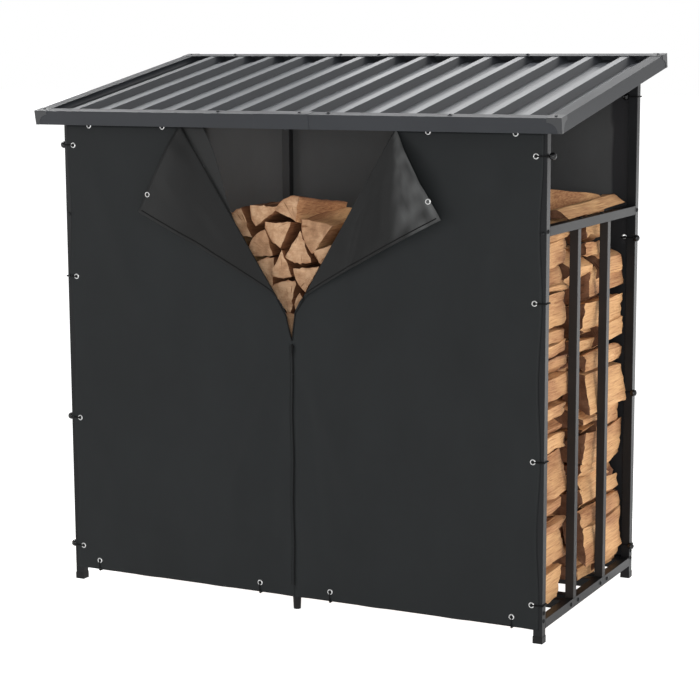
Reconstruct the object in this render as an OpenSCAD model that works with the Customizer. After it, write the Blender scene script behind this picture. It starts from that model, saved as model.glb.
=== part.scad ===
// Steel log store with a ribbed lean-to roof, tarpaulin covers and stacked firewood.
// Units are millimetres; +Z is up, the front faces -Y and the origin is on the ground
// under the middle of the frame.

/* [Frame] */
// outer width of the post frame
frame_w = 1850; // [1200:10:2600]
// outer depth of the post frame
frame_d = 920; // [700:10:1300]
// side of the square tubes
tube = 32; // [24:1:44]
// wall of the square tubes
tube_wall = 1.5; // [1:0.1:3]
// height of the bottom rails above the ground
rail_z = 46; // [30:1:90]
// underside of the upper side rails
upper_rail_z = 1349; // [900:1:1500]
// side of the square bars in the open sides
bar_size = 30; // [20:1:40]
// how far the middle of a floor rail lies in from the end of the logs on it
floor_rail_inset = 8; // [0:1:40]
// gap between an end rail and the floor rail next to it
end_rail_gap = 12; // [8:1:40]
// distance of each rear inner post from the middle
inner_post_x = 505; // [200:5:800]

/* [Feet] */
// wall of the plastic foot cups
foot_wall = 1.2; // [0.8:0.1:5]
// floor of the plastic foot cups
foot_floor = 5; // [3:0.5:10]
// height of the plastic foot cups
foot_h = 24; // [15:1:40]
// top diameter of the middle feet
centre_foot_d = 30; // [20:1:32]
// bottom diameter of the middle feet
centre_foot_tip = 26; // [16:1:32]

/* [Roof] */
// height of the front edge of the roof
roof_low_z = 1730; // [1400:5:2000]
// slope of the roof
roof_slope = 10.25; // [4:0.25:20]
// overhang past the frame at the front and at the back
overhang_end = 74; // [50:1:150]
// overhang past the frame at each side
overhang_side = 73; // [50:1:150]
// height of the edge trims
trim_h = 50; // [40:1:80]
// width of the trims' top flange
trim_flange = 45; // [30:1:48]
// width of the trims' bottom lip
trim_lip = 20; // [10:1:30]
// thickness of the trims
trim_t = 1.2; // [0.8:0.1:3]
// number of ribs across the roof, the two edge ribs included
rib_count = 16; // [8:1:24]
// height of the ribs
rib_h = 22; // [10:1:26]
// width of a rib's crest
rib_crest = 29; // [16:1:40]
// width of a rib's sloping flank
rib_flank = 17; // [6:1:24]
// thickness of the roof sheets
sheet_t = 0.8; // [0.5:0.1:1.5]
// room between lapped sheets
lap_clearance = 0.2; // [0.1:0.1:1]
// length of the sleeves that join the front and rear trims
sleeve_l = 210; // [100:5:400]
// thickness of the sleeves and of the corner caps
cap_t = 1.2; // [0.8:0.1:3]
// length of the corner caps along the edges
cap_l = 50; // [30:1:80]
// length of the corner caps at their bottom
cap_foot = 14; // [8:1:40]

/* [Tarpaulins] */
// thickness of the tarpaulins
tarp_t = 1.2; // [0.8:0.1:2]
// how far the tarpaulins lap over the posts
tarp_lap = 12; // [6:1:20]
// width of the opened top of the front tarpaulin
vee_w = 820; // [400:10:1200]
// height of the lower tip of the opened part
vee_z = 970; // [500:5:1300]
// how far the tips of the folded flaps reach past the opened part
flap_reach = 170; // [60:5:300]
// how far the tips of the folded flaps hang below the top edge
flap_drop = 298; // [100:2:400]
// width of the zip's tape
zip_w = 14; // [8:1:30]
// depth of the zip
zip_t = 2; // [1:0.1:4]
// height of the zip's lower end above the hem
zip_foot = 42; // [10:1:120]

/* [Eyelets and ties] */
// outer diameter of the eyelets
eyelet_d = 20; // [16:0.5:30]
// bore of the eyelets
eyelet_bore = 11; // [8:0.5:16]
// depth of the eyelets in front of the tarpaulin
eyelet_t = 0.8; // [0.5:0.1:2]
// room between an eyelet's barrel and the hole it sits in
eyelet_fit = 0.1; // [0.05:0.05:0.3]
// distance of the side eyelets from the posts
eyelet_inset = 6; // [4:0.5:12]
// heights of the front tarpaulin's lower side eyelets above its hem
front_eyelets_up = [84, 566];
// distances of the front tarpaulin's upper side eyelets below its top edge
front_eyelets_down = [78, 551];
// heights of the rear tarpaulin's lower side eyelets above its hem
rear_eyelets_up = [80, 654];
// distances of the rear tarpaulin's upper side eyelets below its top edge
rear_eyelets_down = [81, 585];
// distance of the inner hem eyelets from the middle
hem_eyelet_mid = 139; // [60:1:300]
// distance of the outer hem and top eyelets from the tarpaulin's edge
corner_eyelet = 88; // [30:1:200]
// distance of the inner top eyelets from the opened part
vee_eyelet = 100; // [40:1:150]
// distance of the front tarpaulin's top eyelets from its top edge
top_eyelet_drop = 13; // [11:1:40]
// distance of a flap's eyelet from the flap's tip, along its upper edge
flap_eyelet_tip = 71; // [20:1:150]
// distance of a flap's eyelet from the flap's upper edge
flap_eyelet_in = 17; // [11:1:40]
// thickness of the elastic cords
cord = 5; // [3:0.5:7]
// diameter of the balls on the cords
ball_d = 25; // [16:1:40]
// which balls of the front left side ties lie inside the post, in the eyelets' order
front_left_tucked = [false, false, false, true];
// which balls of the front right side ties lie inside the post, in the eyelets' order
front_right_tucked = [true, true, false, true];
// which balls of the rear side ties lie inside the post, in the eyelets' order
rear_tucked = [false, false, true, false];

/* [Firewood] */
// gap between two rows of logs, with the side bars in front of it
row_gap = 54; // [36:1:120]
// most that a log is shorter than the others
log_l_spread = 14; // [0:1:40]
// logs side by side in one row
log_columns = 13; // [6:1:18]
// logs on top of each other in one row
log_courses = 10; // [4:1:14]
// how far the stack stays below the top of the upper rails
stack_drop = 2; // [0:1:400]
// gap between the stack and the posts
stack_gap = 3; // [2:1:40]
// room between the ties and the logs
tie_room = 4; // [2:1:20]
// gap between neighbouring logs
log_gap = 0.5; // [0.3:0.1:3]
// how unevenly the logs are split, as a share of their spacing
log_jitter = 0.34; // [0:0.02:0.4]
// radius of the bark side, as a share of the reach of a log's room
bark_cut = 0.9; // [0.8:0.01:1]
// radius of the thickest loose log on top
top_log_r = 62; // [30:1:80]
// share of the stack's width, from its right end, where the middle row has its top course
middle_top_spread = 0.45; // [0.45:0.01:1]
// share of the stack's width, from its right end, that loose logs lie on
top_log_spread = 0.37; // [0.2:0.01:0.38]
// share of the places there that hold a loose log
top_log_share = 0.8; // [0:0.05:1]
// most that a loose log is turned out of line
top_log_skew = 9; // [0:1:20]

/* [Hidden] */
$fn = 32;
eps = 0.01;
seat = 0.3;

post_x = (frame_w - tube) / 2;
post_y = (frame_d - tube) / 2;
inner_w = frame_w - 2 * tube;
inner_d = frame_d - 2 * tube;
floor_z = rail_z + tube;
row_setback = cord + tie_room;
log_l = (inner_d - 2 * row_setback - 2 * row_gap) / 3;
bar_y = (log_l + row_gap) / 2;
end_floor_rail_y = inner_d / 2 - end_rail_gap - tube / 2;
row_rail_offset = row_gap / 2 + floor_rail_inset;
floor_rail_ys = [for (s = [-1, 1]) each [
    s * end_floor_rail_y, s * (bar_y + row_rail_offset), s * (bar_y - row_rail_offset)]];

roof_w = frame_w + 2 * overhang_side;
roof_front_y = -frame_d / 2 - overhang_end;
roof_l = (frame_d + 2 * overhang_end - trim_h * sin(roof_slope)) / cos(roof_slope);
lap_step = sheet_t + lap_clearance;
crest_z = -trim_t - lap_step;
pan_z = crest_z - rib_h;
top_frame_z = pan_z - sheet_t;
rib_pitch = (roof_w - 2 * trim_t - 2 * lap_clearance - rib_crest / 2) / (rib_count - 1);
lap_rib = ceil(rib_count / 2);

tarp_w = inner_w + 2 * tarp_lap;
hem_z = rail_z;
front_top_z = world_z(-frame_d / 2, top_frame_z - tube) - tarp_t;
rear_top_z = world_z(frame_d / 2 + tarp_t, top_frame_z - tube) - tarp_t;
eyelet_x = inner_w / 2 - eyelet_inset;
hem_eyelet_z = floor_z + cord / 2;
top_eyelet_z = front_top_z - top_eyelet_drop;
hem_eyelet_xs = [hem_eyelet_mid, tarp_w / 2 - corner_eyelet];
top_eyelet_xs = [vee_w / 2 + vee_eyelet, tarp_w / 2 - corner_eyelet];
front_eyelet_zs = side_eyelet_zs(front_eyelets_up, front_eyelets_down, front_top_z);
rear_eyelet_zs = side_eyelet_zs(rear_eyelets_up, rear_eyelets_down, rear_top_z);
vee_top = [vee_w / 2, front_top_z];
flap_tip = vee_top + [flap_reach, -flap_drop];
flap_edge = (vee_top - flap_tip) / norm(vee_top - flap_tip);
flap_eyelet = flap_tip + flap_eyelet_tip * flap_edge + flap_eyelet_in * [-flap_edge[1], flap_edge[0]];

stack_w = inner_w - 2 * stack_gap;
stack_z = floor_z + seat;
stack_top = upper_rail_z + tube - stack_drop;
log_pitch = [stack_w / log_columns, (stack_top - stack_z) / log_courses];
row_ys = [-inner_d / 2 + row_setback, -log_l / 2, inner_d / 2 - row_setback - log_l];
row_seeds = [11, 23, 37];

anthracite = [0.27, 0.28, 0.29];
sheet_grey = [0.33, 0.34, 0.36];
plastic = [0.13, 0.13, 0.14];
tarp_grey = [0.19, 0.2, 0.2];
steel = [0.75, 0.75, 0.75];
wood = [0.78, 0.6, 0.42];
split_wood = [0.72, 0.52, 0.34];

// Heights of a tarpaulin's side eyelets, some counted from its hem and some from its top.
function side_eyelet_zs(up, down, top) = concat([for (h = up) hem_z + h], [for (h = down) top - h]);

// Height over the ground of a point that lies z above the roof plane at the depth y.
function world_z(y, z) = roof_low_z + (y - roof_front_y) * tan(roof_slope) + z / cos(roof_slope);

// Distance up the slope of a point at the depth y that lies z above the roof plane.
function slope_y(y, z) = (y - roof_front_y + z * sin(roof_slope)) / cos(roof_slope);

// Moves children from the roof's own frame, with y up the slope, to their place.
module on_roof() {
    translate([0, roof_front_y, roof_low_z])
        rotate([roof_slope, 0, 0])
            children();
}

// A square tube along +Z, its corner at the origin.
module tube_z(length, side = tube) {
    linear_extrude(length)
        difference() {
            square(side);
            translate([tube_wall, tube_wall])
                square(side - 2 * tube_wall);
        }
}

// A square tube along +X, its corner at the origin.
module tube_x(length) {
    translate([0, 0, tube])
        rotate([0, 90, 0])
            tube_z(length);
}

// A square tube along +Y, its corner at the origin.
module tube_y(length) {
    translate([0, 0, tube])
        rotate([-90, 0, 0])
            tube_z(length);
}

// A tube that stands on z and is cut off under the sloping top frame.
module cut_post(x, y, z) {
    difference() {
        translate([x - tube / 2, y - tube / 2, z])
            tube_z(world_z(frame_d / 2, 0) - z);
        on_roof()
            translate([-roof_w / 2, 0, top_frame_z - tube])
                cube([roof_w, roof_l, 3 * roof_low_z]);
    }
}

module corner_post(x, y) {
    color(anthracite)
        cut_post(x, y, foot_floor);
}

module front_left_post() corner_post(-post_x, -post_y);
module front_right_post() corner_post(post_x, -post_y);
module rear_left_post() corner_post(-post_x, post_y);
module rear_right_post() corner_post(post_x, post_y);

module rear_inner_posts() {
    color(anthracite)
        for (s = [-1, 1])
            cut_post(s * inner_post_x, post_y, floor_z);
}

// A bottom rail between two posts or two side rails, centred on the depth y.
module cross_rail(y) {
    translate([-inner_w / 2, y - tube / 2, rail_z])
        tube_x(inner_w);
}

// A side rail between the front and the rear post.
module side_rail(x, z) {
    color(anthracite)
        translate([x - tube / 2, -inner_d / 2, z])
            tube_y(inner_d);
}

module front_bottom_rail() color(anthracite) cross_rail(-post_y);
module rear_bottom_rail() color(anthracite) cross_rail(post_y);
module left_bottom_rail() side_rail(-post_x, rail_z);
module right_bottom_rail() side_rail(post_x, rail_z);
module left_upper_rail() side_rail(-post_x, upper_rail_z);
module right_upper_rail() side_rail(post_x, upper_rail_z);

module floor_rails() {
    color(anthracite)
        for (y = floor_rail_ys)
            cross_rail(y);
}

module side_bars(x) {
    color(anthracite)
        for (s = [-1, 1])
            translate([x - bar_size / 2, s * bar_y - bar_size / 2, floor_z])
                tube_z(upper_rail_z - floor_z, bar_size);
}

module left_side_bars() side_bars(-post_x);
module right_side_bars() side_bars(post_x);

module foot_cups() {
    cup = tube + 2 * foot_wall;
    color(plastic)
        for (x = [-post_x, post_x], y = [-post_y, post_y])
            translate([x - cup / 2, y - cup / 2, 0])
                difference() {
                    cube([cup, cup, foot_h]);
                    translate([foot_wall, foot_wall, foot_floor])
                        cube([tube, tube, foot_h]);
                }
}

module centre_feet() {
    color(plastic)
        for (y = [-post_y, post_y])
            translate([0, y, 0])
                cylinder(h = rail_z, d1 = centre_foot_tip, d2 = centre_foot_d);
}

// A tube of the sloping top frame that runs across the front or the rear posts.
module top_rail(y_world) {
    color(anthracite)
        on_roof()
            translate([-frame_w / 2, slope_y(y_world, top_frame_z - tube), top_frame_z - tube])
                tube_x(frame_w);
}

top_rail_y = slope_y(-frame_d / 2, top_frame_z - tube);
top_rail_y2 = slope_y(inner_d / 2, top_frame_z - tube);

module front_top_rail() top_rail(-frame_d / 2);
module rear_top_rail() top_rail(inner_d / 2);

module rafter(x) {
    color(anthracite)
        on_roof()
            translate([x - tube / 2, top_rail_y + tube, top_frame_z - tube])
                tube_y(top_rail_y2 - top_rail_y - tube);
}

module left_rafter() rafter(-post_x);
module right_rafter() rafter(post_x);

module roof_purlin() {
    color(anthracite)
        on_roof()
            translate([-inner_w / 2, (top_rail_y + top_rail_y2) / 2, top_frame_z - tube])
                tube_x(inner_w);
}

// The four corners of rib i: foot, crest, crest and foot.
function rib(i, lift = 0) =
    let (x = (i - (rib_count - 1) / 2) * rib_pitch, half = rib_crest / 2)
    [[x - half - rib_flank, pan_z + lift], [x - half, crest_z + lift],
     [x + half, crest_z + lift], [x + half + rib_flank, pan_z]];

// A sheet's bent section, one thickness deep, extruded up the slope.
module roof_sheet(line) {
    under = [for (i = [len(line) - 1:-1:0]) line[i] - [0, sheet_t]];
    color(sheet_grey)
        on_roof()
            translate([0, roof_l - trim_t - seat, 0])
                rotate([90, 0, 0])
                    linear_extrude(roof_l - 2 * trim_t - 2 * seat)
                        polygon(concat(line, under));
}

// The left sheet ends on the crest that the right sheet laps over.
module left_roof_sheet() {
    edge = rib(0);
    last = rib(lap_rib);
    roof_sheet([
        (edge[1] + edge[2]) / 2, edge[2], edge[3],
        for (i = [1:lap_rib - 1]) each rib(i),
        last[0], last[1], last[2]]);
}

module right_roof_sheet() {
    edge = rib(rib_count - 1);
    roof_sheet([
        each rib(lap_rib, lap_step),
        for (i = [lap_rib + 1:rib_count - 2]) each rib(i),
        edge[0], edge[1], (edge[1] + edge[2]) / 2]);
}

// The trims' channel section: the web at x = 0, the flange on top and the lip below.
module trim_section() {
    difference() {
        translate([0, -trim_h])
            square([trim_flange, trim_h]);
        translate([trim_t, trim_t - trim_h])
            square([trim_flange, trim_h - 2 * trim_t]);
        translate([trim_lip, -trim_h - eps])
            square([trim_flange, trim_t + 2 * eps]);
    }
}

// A trim of the given length along +X with its web on y = 0, mitred at both ends.
module trim(length) {
    intersection() {
        rotate([90, 0, 90])
            linear_extrude(length)
                trim_section();
        translate([0, 0, -trim_h - 1])
            linear_extrude(trim_h + 2)
                polygon([[0, 0], [length, 0], [length - trim_flange, trim_flange],
                         [trim_flange, trim_flange]]);
    }
}

module front_trim() {
    color(anthracite)
        on_roof()
            translate([-roof_w / 2, 0, 0])
                trim(roof_w);
}

module rear_trim() {
    color(anthracite)
        on_roof()
            translate([roof_w / 2, roof_l, 0])
                rotate(180)
                    trim(roof_w);
}

module left_trim() {
    color(anthracite)
        on_roof()
            translate([-roof_w / 2, roof_l, 0])
                rotate(-90)
                    trim(roof_l);
}

module right_trim() {
    color(anthracite)
        on_roof()
            translate([roof_w / 2, 0, 0])
                rotate(90)
                    trim(roof_l);
}

// A joint plate folded over the web and the flange at the middle of a trim.
module sleeve() {
    translate([-sleeve_l / 2, -cap_t, -trim_h])
        cube([sleeve_l, cap_t, trim_h + cap_t]);
    translate([-sleeve_l / 2, -eps, 0])
        cube([sleeve_l, trim_flange, cap_t]);
}

module trim_sleeves() {
    color(anthracite)
        on_roof() {
            sleeve();
            translate([0, roof_l, 0])
                rotate(180)
                    sleeve();
        }
}

// One side of a corner cap in the plane y = 0, its inner edge a quarter curve.
module cap_side() {
    reach = cap_l - cap_foot;
    rotate([90, 0, 0])
        linear_extrude(cap_t)
            difference() {
                translate([-cap_t, -trim_h])
                    square([cap_l + cap_t, trim_h + cap_t]);
                translate([cap_foot + reach, -trim_h])
                    circle(reach);
            }
}

// A moulded cap over the corner at the origin, between +X and +Y.
module corner_cap() {
    cap_side();
    mirror([1, -1, 0])
        cap_side();
    translate([-cap_t, -cap_t, 0])
        cube([cap_l + cap_t, cap_l + cap_t, cap_t]);
}

module corner_caps() {
    color(plastic)
        on_roof()
            for (side = [0, 1], end = [0, 1])
                mirror([side, 0, 0])
                    translate([-roof_w / 2, end * roof_l, 0])
                        mirror([0, end, 0])
                            corner_cap();
}

// Extrudes an outline in X and Z towards the back from the depth y.
module plate(y, depth) {
    translate([0, y + depth, 0])
        rotate([90, 0, 0])
            linear_extrude(depth)
                children();
}

// One half of the front tarpaulin on the +X side with its flap folded outwards.
module front_half() {
    face_y = -frame_d / 2 - tarp_t;
    seam_x = 0.25;
    difference() {
        union() {
            plate(face_y, tarp_t)
                polygon([[seam_x, hem_z], [tarp_w / 2, hem_z], [tarp_w / 2, front_top_z], vee_top,
                         [seam_x, vee_z]]);
            plate(face_y - tarp_t, tarp_t + eps)
                polygon([[seam_x, vee_z], flap_tip, vee_top]);
        }
        for (p = front_eyelet_points())
            plate(face_y - 1, tarp_t + 2)
                translate(p)
                    circle(d = eyelet_barrel);
        plate(face_y - tarp_t - 1, tarp_t + 1)
            translate(flap_eyelet)
                circle(d = eyelet_barrel);
    }
}

eyelet_barrel = (eyelet_d + eyelet_bore) / 2;

// Centres of the eyelets on the +X half of the front tarpaulin.
function front_eyelet_points() = concat(
    [for (z = front_eyelet_zs) [eyelet_x, z]],
    [for (x = hem_eyelet_xs) [x, hem_eyelet_z]],
    [for (x = top_eyelet_xs) [x, top_eyelet_z]]);

// Centres of the eyelets on the +X half of the rear tarpaulin.
function rear_eyelet_points() = concat(
    [for (z = rear_eyelet_zs) [eyelet_x, z]],
    [for (x = hem_eyelet_xs) [x, hem_eyelet_z]]);

module front_left_tarp() {
    color(tarp_grey)
        mirror([1, 0, 0])
            front_half();
}

module front_right_tarp() {
    color(tarp_grey)
        front_half();
}

module zip() {
    color(plastic)
        plate(-frame_d / 2 - tarp_t - zip_t, zip_t)
            translate([-zip_w / 2, hem_z + zip_foot])
                square([zip_w, vee_z - hem_z - zip_foot - zip_w]);
}

module rear_tarp() {
    color(tarp_grey)
        difference() {
            plate(frame_d / 2, tarp_t)
                translate([-tarp_w / 2, hem_z])
                    square([tarp_w, rear_top_z - hem_z]);
            for (s = [-1, 1], p = rear_eyelet_points())
                plate(frame_d / 2 - 1, tarp_t + 2)
                    translate([s * p[0], p[1]])
                        circle(d = eyelet_barrel);
        }
}

// A pressed eyelet along +Y: a flange on the face at y = 0 and a barrel behind it.
module eyelet() {
    rotate([-90, 0, 0])
        difference() {
            union() {
                translate([0, 0, -eyelet_t])
                    cylinder(h = eyelet_t, d = eyelet_d);
                cylinder(h = tarp_t, d = eyelet_barrel - 2 * eyelet_fit);
            }
            translate([0, 0, -eyelet_t - 1])
                cylinder(h = eyelet_t + tarp_t + 2, d = eyelet_bore);
        }
}

module front_eyelets() {
    color(steel)
        for (s = [-1, 1]) {
            for (p = front_eyelet_points())
                translate([s * p[0], -frame_d / 2 - tarp_t, p[1]])
                    eyelet();
            translate([s * flap_eyelet[0], -frame_d / 2 - 2 * tarp_t, flap_eyelet[1]])
                eyelet();
        }
}

module rear_eyelets() {
    color(steel)
        for (s = [-1, 1], p = rear_eyelet_points())
            translate([s * p[0], frame_d / 2 + tarp_t, p[1]])
                rotate(180)
                    eyelet();
}

// Clear distance from a frame face to a cord that runs over the tarpaulin and its eyelets.
cord_clear = tarp_t + eyelet_t + seat;

// A taut elastic loop round a tube, in plan: through the eyelet, over the tube's outer
// face and back behind it. The tube's corner nearest the eyelet is the origin.
module loop_outline() {
    difference() {
        translate([-eyelet_inset - cord / 2, -cord_clear - cord])
            square([eyelet_inset + tube + cord * 1.5, cord_clear + tube + 2 * cord]);
        translate([-eyelet_inset + cord / 2, -cord_clear])
            square([eyelet_inset + tube - cord / 2, cord_clear + tube]);
    }
}

// A ball tie round an upright post at the height z, its ball at the given plan point.
module post_tie(z, ball) {
    translate([0, 0, z - cord / 2])
        linear_extrude(cord)
            loop_outline();
    translate([ball[0], ball[1], z])
        sphere(d = ball_d);
}

// Places of a ball in the plan of a loop: on the post's outer side, at its outer corner away
// from the tarpaulin, or on its inner side beside the logs.
side_ball = [tube + ball_d / 2 + seat, tube / 2];
corner_ball = [tube + ball_d * 0.32, tube + ball_d * 0.4];
inner_ball = [-eyelet_inset - ball_d * 0.3, tube + row_setback - seat - ball_d / 2];

// A ball tie from a hem eyelet round the bottom rail, its ball below the rail.
module hem_tie(x) {
    translate([x - cord / 2, -frame_d / 2, 0])
        rotate([90, 0, 90])
            linear_extrude(cord)
                difference() {
                    translate([-cord_clear - cord, rail_z - cord])
                        square([cord_clear + tube + 2 * cord, tube + 2 * cord]);
                    translate([-cord_clear, rail_z])
                        square([cord_clear + tube, tube]);
                }
    translate([x, -frame_d / 2 + ball_d / 2, rail_z - ball_d / 2 - seat])
        sphere(d = ball_d);
}

module front_ball_ties() {
    color(plastic)
        for (s = [0, 1])
            mirror([s, 0, 0]) {
                tucked = s == 0 ? front_right_tucked : front_left_tucked;
                for (i = [0:len(front_eyelet_zs) - 1])
                    translate([inner_w / 2, -frame_d / 2, 0])
                        post_tie(front_eyelet_zs[i], tucked[i] ? inner_ball : side_ball);
                for (x = hem_eyelet_xs)
                    hem_tie(x);
            }
}

module rear_ball_ties() {
    color(plastic)
        mirror([0, 1, 0])
            for (s = [0, 1])
                mirror([s, 0, 0]) {
                    for (i = [0:len(rear_eyelet_zs) - 1])
                        translate([inner_w / 2, -frame_d / 2, 0])
                            post_tie(rear_eyelet_zs[i], rear_tucked[i] ? inner_ball : corner_ball);
                    for (x = hem_eyelet_xs)
                        hem_tie(x);
                }
}

// Keeps the part of a convex outline that lies behind the line through m square to n.
function clip(outline, m, n) = [
    for (i = [0:len(outline) - 1])
        let (
            a = outline[i],
            b = outline[(i + 1) % len(outline)],
            da = (a - m) * n,
            db = (b - m) * n
        )
        each concat(da <= 0 ? [a] : [], da * db < 0 ? [a + (b - a) * da / (da - db)] : [])];

function clip_all(outline, cuts, k = 0) =
    k == len(cuts) ? outline : clip_all(clip(outline, cuts[k][0], cuts[k][1]), cuts, k + 1);

// Middles of the logs of one row: a grid with every second course shifted, made uneven.
function log_middles(seed) =
    let (noise = rands(-log_jitter, log_jitter, 2 * log_columns * log_courses, seed))
    [for (k = [0:log_courses - 1])
        [for (c = [0:log_columns - 1])
            let (n = 2 * (k * log_columns + c), shift = k % 2 == 0 ? 0.25 : 0.75)
            [-stack_w / 2 + (c + shift + noise[n]) * log_pitch[0],
             stack_z + (k + 0.5 + noise[n + 1]) * log_pitch[1]]]];

// The room of log c in course k: everything nearer to it than to its neighbours.
function log_room(middles, c, k) =
    let (
        own = middles[k][c],
        cuts = [
            for (dk = [-2:2], dc = [-3:3])
                let (kk = k + dk, cc = c + dc)
                if ((dk != 0 || dc != 0) && kk >= 0 && kk < log_courses && cc >= 0 && cc < log_columns)
                    let (to = middles[kk][cc] - own, n = to / norm(to))
                    [own + to / 2 - n * log_gap / 2, n]]
    )
    clip_all(
        [[-stack_w / 2, stack_z], [stack_w / 2, stack_z], [stack_w / 2, stack_top], [-stack_w / 2, stack_top]],
        cuts);

// The section of a split log: two split faces that meet at the pith, in a corner of its
// room, and a round bark side that cuts the far corners of the room back.
module log_section(room, pick) {
    pith = room[floor(pick * len(room))];
    reach = max([for (p = room) norm(p - pith)]);
    intersection() {
        polygon(room);
        translate(pith)
            circle(reach * bark_cut);
    }
}

// One row of split logs that lie front to back from the depth y. Its top course covers only
// the given share of the width, counted from the right end.
module log_row(y, seed, top_share) {
    middles = log_middles(seed);
    short = rands(0, log_l_spread, 2 * log_columns * log_courses, seed + 1);
    picks = rands(0, 0.99, log_columns * log_courses, seed + 4);
    for (k = [0:log_courses - 1], c = [0:log_columns - 1])
        if (k < log_courses - 1 || c >= log_columns * (1 - top_share)) {
            n = k * log_columns + c;
            plate(y + short[2 * n] / 2, log_l - short[2 * n] / 2 - short[2 * n + 1] / 2)
                log_section(log_room(middles, c, k), picks[n]);
        }
}

module front_log_row() color(wood) log_row(row_ys[0], row_seeds[0], 1);
module middle_log_row() color(split_wood) log_row(row_ys[1], row_seeds[1], middle_top_spread);
module rear_log_row() color(wood) log_row(row_ys[2], row_seeds[2], 0);

// A half-round log with its split face down.
module half_log(r) {
    difference() {
        circle(r);
        translate([-2 * r, -2 * r])
            square([4 * r, 2 * r]);
    }
}

// Loose half-round logs that lie askew on the right end of the front and middle rows.
module top_logs() {
    spacing = 2 * top_log_r + log_l * sin(top_log_skew);
    count = floor(stack_w * top_log_spread / spacing);
    color(wood)
        for (row = [0, 1]) {
            chance = rands(0, 1, count, row_seeds[row] + 2);
            size = rands(0.7, 1, count, row_seeds[row] + 3);
            turn = rands(-top_log_skew, top_log_skew, count, row_seeds[row] + 5);
            for (i = [0:count - 1])
                if (chance[i] < top_log_share)
                    translate([stack_w / 2 - (i + 0.5) * spacing, row_ys[row] + log_l / 2, stack_top + seat])
                        rotate(turn[i])
                            plate(-log_l * size[i] / 2, log_l * size[i])
                                half_log(top_log_r * size[i]);
        }
}

front_left_post();
front_right_post();
rear_left_post();
rear_right_post();
rear_inner_posts();
front_bottom_rail();
rear_bottom_rail();
left_bottom_rail();
right_bottom_rail();
floor_rails();
left_upper_rail();
right_upper_rail();
left_side_bars();
right_side_bars();
foot_cups();
centre_feet();
front_top_rail();
rear_top_rail();
left_rafter();
right_rafter();
roof_purlin();
left_roof_sheet();
right_roof_sheet();
front_trim();
rear_trim();
left_trim();
right_trim();
trim_sleeves();
corner_caps();
front_left_tarp();
front_right_tarp();
zip();
rear_tarp();
front_eyelets();
rear_eyelets();
front_ball_ties();
rear_ball_ties();
front_log_row();
middle_log_row();
rear_log_row();
top_logs();
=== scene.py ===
"""Dresses the log store: coated steel, tarpaulins, ball ties and firewood in a white studio."""
from math import atan2, copysign, cos, degrees, pi, radians, sin, sqrt, tan

import bpy
import numpy as np
from mathutils import Matrix, Vector


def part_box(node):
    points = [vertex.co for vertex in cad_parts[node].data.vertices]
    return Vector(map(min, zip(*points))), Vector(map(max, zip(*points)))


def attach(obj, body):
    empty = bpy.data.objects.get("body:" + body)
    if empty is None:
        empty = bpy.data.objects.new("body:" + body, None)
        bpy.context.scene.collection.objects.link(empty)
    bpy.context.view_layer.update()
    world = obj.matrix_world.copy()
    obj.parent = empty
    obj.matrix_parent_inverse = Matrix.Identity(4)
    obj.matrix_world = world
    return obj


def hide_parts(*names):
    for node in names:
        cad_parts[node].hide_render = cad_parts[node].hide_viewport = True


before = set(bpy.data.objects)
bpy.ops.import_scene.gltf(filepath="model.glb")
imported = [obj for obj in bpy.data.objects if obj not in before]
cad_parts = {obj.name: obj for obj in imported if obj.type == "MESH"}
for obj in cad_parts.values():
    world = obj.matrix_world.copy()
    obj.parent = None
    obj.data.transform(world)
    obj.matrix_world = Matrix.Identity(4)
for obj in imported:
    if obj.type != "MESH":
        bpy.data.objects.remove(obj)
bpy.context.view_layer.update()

# Places taken from the frame, in metres
TARP_LO, TARP_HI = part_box("front_right_tarp")
REAR_LO, REAR_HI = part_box("rear_tarp")
POST_LO, POST_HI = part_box("front_right_post")
RAIL_LO, RAIL_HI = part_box("front_bottom_rail")
SIDE_RAIL_LO, SIDE_RAIL_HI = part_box("right_bottom_rail")
UPPER_RAIL_LO, UPPER_RAIL_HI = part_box("right_upper_rail")
BARS_LO, BARS_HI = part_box("right_side_bars")
TRIM_LO, TRIM_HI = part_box("front_trim")
ZIP_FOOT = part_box("zip")[0].z
FRONT_Y = POST_LO.y
TUBE = POST_HI.x - POST_LO.x
BAR = BARS_HI.x - BARS_LO.x
BAR_Y = BARS_HI.y - BAR / 2

# Bolts and screws: profiles of their heads as (radius, height), and places
BOLT_HEAD = ((0.0, 0.0045), (0.003, 0.0043), (0.0056, 0.0034), (0.0072, 0.0016), (0.0076, 0.0))
SCREW_HEAD = ((0.0, 0.0042), (0.0042, 0.004), (0.0047, 0.0034), (0.0047, 0.0012), (0.0082, 0.001),
              (0.0085, 0.0))
HEAD_SIDES = 16
BAR_BOLT_STEP = 0.034
POST_BOLT_RISE = (0.029, 0.056)
UPPER_BOLT_STEP = 0.042
FACE_BOLT_IN = 0.012
FACE_BOLT_RISE = 0.01
ROOF_SLOPE = radians(10.25)
FRONT_SCREW_IN = 0.024
REAR_SCREW_IN = 0.030
FRONT_SCREW_X = (-0.255, 0.06, 0.168, 0.61)
REAR_SCREW_X = (-0.77, -0.3, -0.136, 0.474)
CAP_SCREW_X = 0.972
SLEEVE_SCREW_X = 0.009

# Tarpaulins
CLOTH_T = 0.0012
CLOTH_CLEAR = 0.0008
EDGE_X = TARP_HI.x + 0.008
REAR_EDGE_X = REAR_HI.x
EDGE_HELD = 0.012
SCALLOP = 0.010
LOW_ROWS = 0.12
HEM_RISE = 0.004
# Width of a darker band along the right edge of the rear lining, and the step at its inner edge
DARK_BAND_W = 0.085
DARK_BAND_STEP = 0.002
REAR_SLACK = 0.003
# Waves of the cloth: height, stretch upwards, seed and length
FRONT_WAVES = ((0.0035, 0.55, 5, 0.42), (0.0012, 1.0, 15, 0.16))
REAR_WAVES = ((0.005, 0.6, 31, 0.45), (0.0018, 1.0, 32, 0.15))
SEAM_WAVE = (0.003, 0.09, 0.31)
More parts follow.
